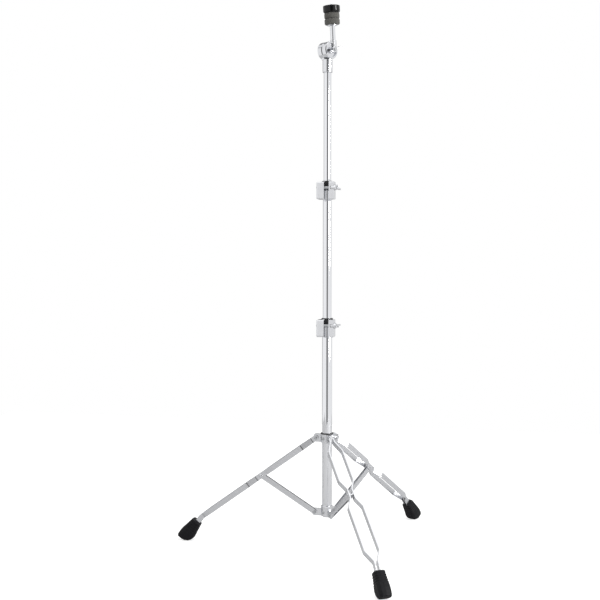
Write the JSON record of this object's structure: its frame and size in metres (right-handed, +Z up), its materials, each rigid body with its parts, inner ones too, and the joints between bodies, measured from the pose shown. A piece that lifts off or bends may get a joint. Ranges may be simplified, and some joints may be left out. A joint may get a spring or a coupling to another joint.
{
  "type": "cymbal stand",
  "caption": "Chrome straight cymbal stand with telescoping tubes, wing-nut clamps, a tilter with felts, and a folding double-braced tripod on rubber feet.",
  "frame": {"origin": "on the floor, under the middle of the box round the three rubber feet", "axes": "+Z up along the column, -X towards the left leg's foot, -Y towards the side that the picture shows"},
  "size_m": [0.607, 0.6982, 1.3719],
  "materials": {
    "chrome_tube": "polished chrome plating",
    "chrome_casting": "chrome plating on a casting",
    "plated_strip": "bright plating on rolled strip",
    "steel": "zinc plated",
    "rubber": "moulded matt",
    "black_plastic": "glossy",
    "nylon": "satin",
    "felt": "pressed wool felt"
  },
  "bodies": {
    "base": {"base_tube": "chrome_tube", "base_tube_plug": "nylon", "brace_collar": "chrome_casting", "brace_collar_rivet": "steel", "left_brace_rivet": "steel", "front_brace_rivet": "steel", "back_brace_rivet": "steel", "lower_clamp_body": "chrome_casting", "lower_clamp_bolt": "steel"},
    "collar": {"leg_collar": "chrome_casting", "leg_collar_liner": "nylon", "leg_collar_screw": "steel", "left_leg_rivet": "steel", "front_leg_rivet": "steel", "back_leg_rivet": "steel"},
    "collar_wing": {"leg_collar_wing_screw": "chrome_casting"},
    "left_leg": {"left_leg_strip_a": "plated_strip", "left_leg_strip_b": "plated_strip", "left_rubber_foot": "rubber"},
    "front_leg": {"front_leg_strip_a": "plated_strip", "front_leg_strip_b": "plated_strip", "front_rubber_foot": "rubber"},
    "back_leg": {"back_leg_strip_a": "plated_strip", "back_leg_strip_b": "plated_strip", "back_rubber_foot": "rubber"},
    "left_brace": {"left_brace_strip_a": "plated_strip", "left_brace_strip_b": "plated_strip", "left_brace_sleeve": "steel"},
    "front_brace": {"front_brace_strip_a": "plated_strip", "front_brace_strip_b": "plated_strip", "front_brace_sleeve": "steel"},
    "back_brace": {"back_brace_strip_a": "plated_strip", "back_brace_strip_b": "plated_strip", "back_brace_sleeve": "steel"},
    "lower_wing": {"lower_clamp_wing_nut": "chrome_casting"},
    "lower_bush": {"lower_clamp_bush": "nylon"},
    "middle": {"middle_tube": "chrome_tube", "upper_clamp_body": "chrome_casting", "upper_clamp_bolt": "steel"},
    "upper_wing": {"upper_clamp_wing_nut": "chrome_casting"},
    "upper_bush": {"upper_clamp_bush": "nylon"},
    "upper": {"upper_tube": "chrome_tube", "tilter_lower_half": "chrome_casting", "tilter_socket_screw": "steel", "tilter_bolt": "steel"},
    "tilter_wing": {"tilter_wing_nut": "chrome_casting"},
    "seat": {"tilter_upper_half": "chrome_casting", "cymbal_rod": "chrome_tube", "cup_washer": "chrome_casting", "cymbal_sleeve": "nylon", "lower_felt": "felt", "upper_felt": "felt"},
    "hand_nut": {"top_nut": "black_plastic"}
  },
  "joints": [
    {"name": "collar_slide", "type": "slide", "parent": "base", "child": "collar", "axis": [0, 0, 1], "range_m": [0, 0.15]},
    {"name": "collar_wing_turn", "type": "hinge", "parent": "collar", "child": "collar_wing", "pos_m": [0.09491, 0, 0.28909], "axis": [1, 0, 0], "continuous": true},
    {"name": "left_leg_fold", "type": "hinge", "parent": "collar", "child": "left_leg", "pos_m": [0.06691, 0, 0.28609], "axis": [0, -1, 0], "range_deg": [0, 50]},
    {"name": "front_leg_fold", "type": "hinge", "parent": "collar", "child": "front_leg", "pos_m": [0.10891, -0.02425, 0.28609], "axis": [0.866, 0.5, 0], "range_deg": [0, 50]},
    {"name": "back_leg_fold", "type": "hinge", "parent": "collar", "child": "back_leg", "pos_m": [0.10891, 0.02425, 0.28609], "axis": [-0.866, 0.5, 0], "range_deg": [0, 50]},
    {"name": "left_brace_fold", "type": "hinge", "parent": "base", "child": "left_brace", "pos_m": [0.06291, 0, 0.095], "axis": [0, 1, 0], "range_deg": [0, 55.2]},
    {"name": "front_brace_fold", "type": "hinge", "parent": "base", "child": "front_brace", "pos_m": [0.11091, -0.02771, 0.095], "axis": [-0.866, -0.5, 0], "range_deg": [0, 55.2]},
    {"name": "back_brace_fold", "type": "hinge", "parent": "base", "child": "back_brace", "pos_m": [0.11091, 0.02771, 0.095], "axis": [0.866, -0.5, 0], "range_deg": [0, 55.2]},
    {"name": "lower_wing_turn", "type": "hinge", "parent": "base", "child": "lower_wing", "pos_m": [0.10685, -0.019, 0.574], "axis": [1, 0, 0], "continuous": true},
    {"name": "lower_tube_turn", "type": "hinge", "parent": "base", "child": "lower_bush", "pos_m": [0.09491, 0, 0.545], "axis": [0, 0, 1], "continuous": true},
    {"name": "middle_tube_slide", "type": "slide", "parent": "lower_bush", "child": "middle", "axis": [0, 0, 1], "range_m": [-0.29, 0.05]},
    {"name": "upper_wing_turn", "type": "hinge", "parent": "middle", "child": "upper_wing", "pos_m": [0.10685, -0.019, 0.918], "axis": [1, 0, 0], "continuous": true},
    {"name": "upper_tube_turn", "type": "hinge", "parent": "middle", "child": "upper_bush", "pos_m": [0.09491, 0, 0.889], "axis": [0, 0, 1], "continuous": true},
    {"name": "upper_tube_slide", "type": "slide", "parent": "upper_bush", "child": "upper", "axis": [0, 0, 1], "range_m": [-0.26, 0.04]},
    {"name": "tilter_wing_turn", "type": "hinge", "parent": "upper", "child": "tilter_wing", "pos_m": [0.104, -0.00619, 1.257], "axis": [0.8266, -0.5628, 0], "continuous": true},
    {"name": "tilter_tilt", "type": "hinge", "parent": "upper", "child": "seat", "pos_m": [0.09491, 0, 1.257], "axis": [0.8266, -0.5628, 0], "range_deg": [-94.5, 85.5]},
    {"name": "top_nut_turn", "type": "hinge", "parent": "seat", "child": "hand_nut", "pos_m": [0.10935, 0.00416, 1.25791], "axis": [-0.0442, -0.0648, 0.9969], "continuous": true}
  ],
  "couplings": [
    {"joint": "left_leg_fold", "follows": "collar_slide", "rad_per_m": 5.8077},
    {"joint": "front_leg_fold", "follows": "collar_slide", "rad_per_m": 5.8077},
    {"joint": "back_leg_fold", "follows": "collar_slide", "rad_per_m": 5.8077},
    {"joint": "left_brace_fold", "follows": "collar_slide", "rad_per_m": 6.4172},
    {"joint": "front_brace_fold", "follows": "collar_slide", "rad_per_m": 6.4172},
    {"joint": "back_brace_fold", "follows": "collar_slide", "rad_per_m": 6.4172}
  ]
}
